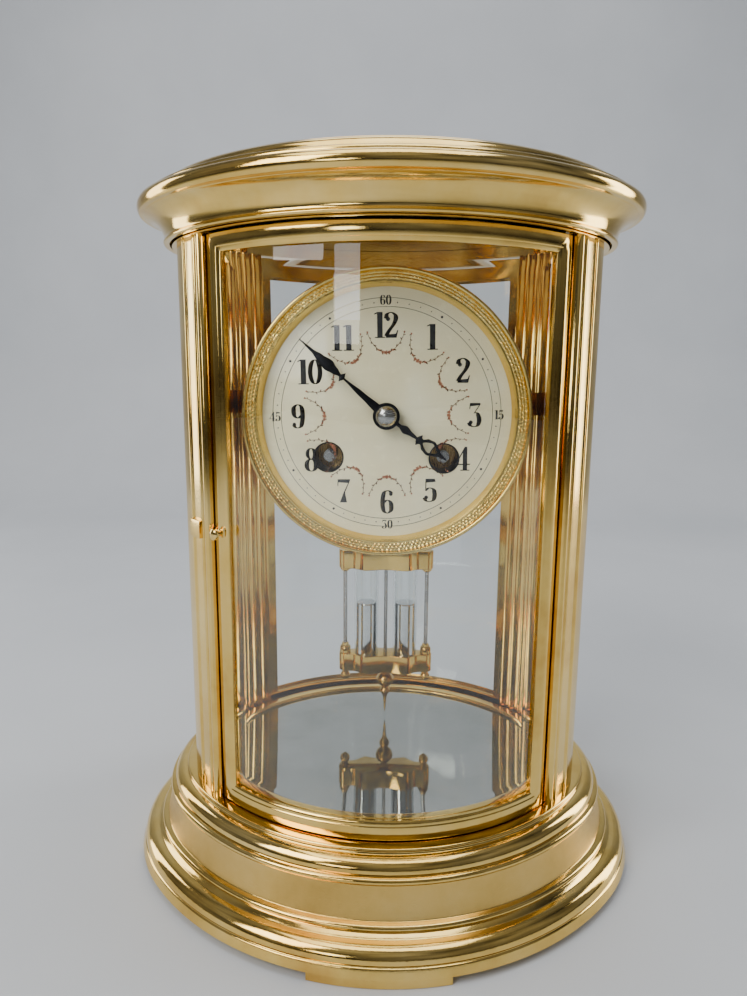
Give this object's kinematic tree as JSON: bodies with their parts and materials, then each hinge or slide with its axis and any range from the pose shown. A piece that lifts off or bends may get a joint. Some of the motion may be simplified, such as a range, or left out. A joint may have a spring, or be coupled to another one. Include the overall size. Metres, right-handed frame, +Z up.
{
  "type": "mantel clock",
  "caption": "Oval four-glass mantel clock with bowed glazed doors, round enamel dial, striking movement and mercury pendulum.",
  "frame": {"origin": "middle of the clock's footprint, at the bottom of its feet", "axes": "+Z up; the dial and front door face -Y; +X to the viewer's right"},
  "size_m": [0.2, 0.168, 0.2572],
  "materials": {
    "polished_brass": "polished and lacquered",
    "gilt_brass": "engraved and gilt",
    "movement_brass": "satin",
    "steel": "polished",
    "black_steel": "blued black, satin",
    "enamel": "glossy ivory enamel",
    "clear_glass": "clear, bevelled",
    "mirror_glass": "silvered",
    "bell_metal": "nickelled",
    "liquid_mercury": "mirror bright",
    "wood_base": "plain"
  },
  "bodies": {
    "case": {"base_plinth": "polished_brass", "base_bottom_plate": "wood_base", "foot_pads": "polished_brass", "floor_ring": "polished_brass", "mirror_floor": "mirror_glass", "post_front_left": "polished_brass", "post_front_right": "polished_brass", "post_back_left": "polished_brass", "post_back_right": "polished_brass", "side_glass_left": "clear_glass", "side_glass_right": "clear_glass", "top_ring": "polished_brass", "cornice": "polished_brass", "top_cap": "polished_brass", "post_screws": "steel", "front_hinge_pins": "steel", "back_hinge_pins": "steel", "door_catches": "polished_brass", "bezel": "gilt_brass", "dial": "enamel", "dial_band": "movement_brass", "mount_straps": "polished_brass", "strap_screws": "steel", "front_plate": "movement_brass", "back_plate": "movement_brass", "plate_pillars": "movement_brass", "plate_nuts": "steel", "bell": "bell_metal", "bell_stand": "movement_brass", "suspension_block": "polished_brass"},
    "front_door": {"front_door_frame": "polished_brass", "front_door_glass": "clear_glass", "front_door_knob": "polished_brass"},
    "back_door": {"back_door_frame": "polished_brass", "back_door_glass": "clear_glass", "back_door_knob": "polished_brass"},
    "minute_train": {"centre_wheel": "movement_brass", "cannon_pinion": "movement_brass", "minute_hand": "black_steel", "hand_nut": "steel"},
    "hour_train": {"hour_wheel": "movement_brass", "hour_hand": "black_steel"},
    "minute_wheel": {"minute_wheel": "movement_brass"},
    "going_barrel": {"going_barrel": "movement_brass"},
    "going_winder": {"going_arbor": "steel"},
    "second_wheel": {"second_wheel": "movement_brass"},
    "third_wheel": {"third_wheel": "movement_brass"},
    "escape_wheel": {"escape_wheel": "movement_brass"},
    "anchor": {"anchor": "steel"},
    "strike_barrel": {"strike_barrel": "movement_brass"},
    "strike_winder": {"strike_arbor": "steel"},
    "pin_wheel": {"pin_wheel": "movement_brass"},
    "locking_wheel": {"locking_wheel": "movement_brass"},
    "fly": {"fly": "movement_brass"},
    "hammer": {"hammer": "steel"},
    "pendulum": {"suspension_spring": "steel", "pendulum_rod": "steel", "bob_frame": "polished_brass", "mercury_jars": "clear_glass", "mercury": "liquid_mercury"}
  },
  "joints": [
    {"name": "front_door_hinge", "type": "hinge", "parent": "case", "child": "front_door", "pos_m": [0.05648, -0.03883, 0.135], "axis": [0, 0, 1], "range_deg": [0, 100]},
    {"name": "back_door_hinge", "type": "hinge", "parent": "case", "child": "back_door", "pos_m": [0.05648, 0.03883, 0.135], "axis": [0, 0, -1], "range_deg": [0, 100]},
    {"name": "minute_spin", "type": "hinge", "parent": "case", "child": "minute_train", "pos_m": [0, 0, 0.176], "axis": [0, 1, 0], "continuous": true},
    {"name": "hour_spin", "type": "hinge", "parent": "case", "child": "hour_train", "pos_m": [0, 0, 0.176], "axis": [0, 1, 0], "continuous": true},
    {"name": "minute_wheel_spin", "type": "hinge", "parent": "case", "child": "minute_wheel", "pos_m": [0, 0, 0.164], "axis": [0, 1, 0], "continuous": true},
    {"name": "going_barrel_spin", "type": "hinge", "parent": "case", "child": "going_barrel", "pos_m": [0.0197, 0, 0.1616], "axis": [0, 1, 0], "continuous": true},
    {"name": "second_wheel_spin", "type": "hinge", "parent": "case", "child": "second_wheel", "pos_m": [0.01411, 0, 0.18165], "axis": [0, 1, 0], "continuous": true},
    {"name": "third_wheel_spin", "type": "hinge", "parent": "case", "child": "third_wheel", "pos_m": [-0.0071, 0, 0.18853], "axis": [0, 1, 0], "continuous": true},
    {"name": "escape_wheel_spin", "type": "hinge", "parent": "case", "child": "escape_wheel", "pos_m": [0, 0, 0.1985], "axis": [0, 1, 0], "continuous": true},
    {"name": "going_winding", "type": "hinge", "parent": "case", "child": "going_winder", "pos_m": [0.0197, 0, 0.1616], "axis": [0, 1, 0], "continuous": true},
    {"name": "pin_wheel_spin", "type": "hinge", "parent": "case", "child": "pin_wheel", "pos_m": [-0.02449, 0, 0.18185], "axis": [0, 1, 0], "continuous": true},
    {"name": "strike_barrel_spin", "type": "hinge", "parent": "case", "child": "strike_barrel", "pos_m": [-0.0197, 0, 0.1616], "axis": [0, 1, 0], "continuous": true},
    {"name": "locking_wheel_spin", "type": "hinge", "parent": "case", "child": "locking_wheel", "pos_m": [-0.0218, 0, 0.19379], "axis": [0, 1, 0], "continuous": true},
    {"name": "fly_spin", "type": "hinge", "parent": "case", "child": "fly", "pos_m": [-0.01431, 0, 0.20078], "axis": [0, 1, 0], "continuous": true},
    {"name": "strike_winding", "type": "hinge", "parent": "case", "child": "strike_winder", "pos_m": [-0.0197, 0, 0.1616], "axis": [0, 1, 0], "continuous": true},
    {"name": "pendulum_swing", "type": "hinge", "parent": "case", "child": "pendulum", "pos_m": [0, 0.023, 0.2105], "axis": [0, 1, 0], "range_deg": [-3.5, 3.5]},
    {"name": "anchor_rock", "type": "hinge", "parent": "case", "child": "anchor", "pos_m": [0, 0, 0.2105], "axis": [0, 1, 0], "range_deg": [-3.5, 3.5]},
    {"name": "hammer_lift", "type": "hinge", "parent": "case", "child": "hammer", "pos_m": [-0.038, 0, 0.173], "axis": [0, 1, 0], "range_deg": [-12, 6], "stiffness_Nm_per_rad": 0.004, "springref_deg": 1.15}
  ],
  "couplings": [
    {"joint": "hour_spin", "follows": "minute_spin", "ratio": 0.083333},
    {"joint": "minute_wheel_spin", "follows": "minute_spin", "ratio": -0.33333},
    {"joint": "second_wheel_spin", "follows": "minute_spin", "ratio": -0.15152},
    {"joint": "going_barrel_spin", "follows": "minute_spin", "ratio": 0.018939},
    {"joint": "third_wheel_spin", "follows": "minute_spin", "ratio": -8},
    {"joint": "escape_wheel_spin", "follows": "minute_spin", "ratio": 60},
    {"joint": "strike_barrel_spin", "follows": "pin_wheel_spin", "ratio": -0.125},
    {"joint": "locking_wheel_spin", "follows": "pin_wheel_spin", "ratio": -7.5},
    {"joint": "fly_spin", "follows": "pin_wheel_spin", "ratio": 52.5},
    {"joint": "anchor_rock", "follows": "pendulum_swing", "ratio": 1}
  ]
}
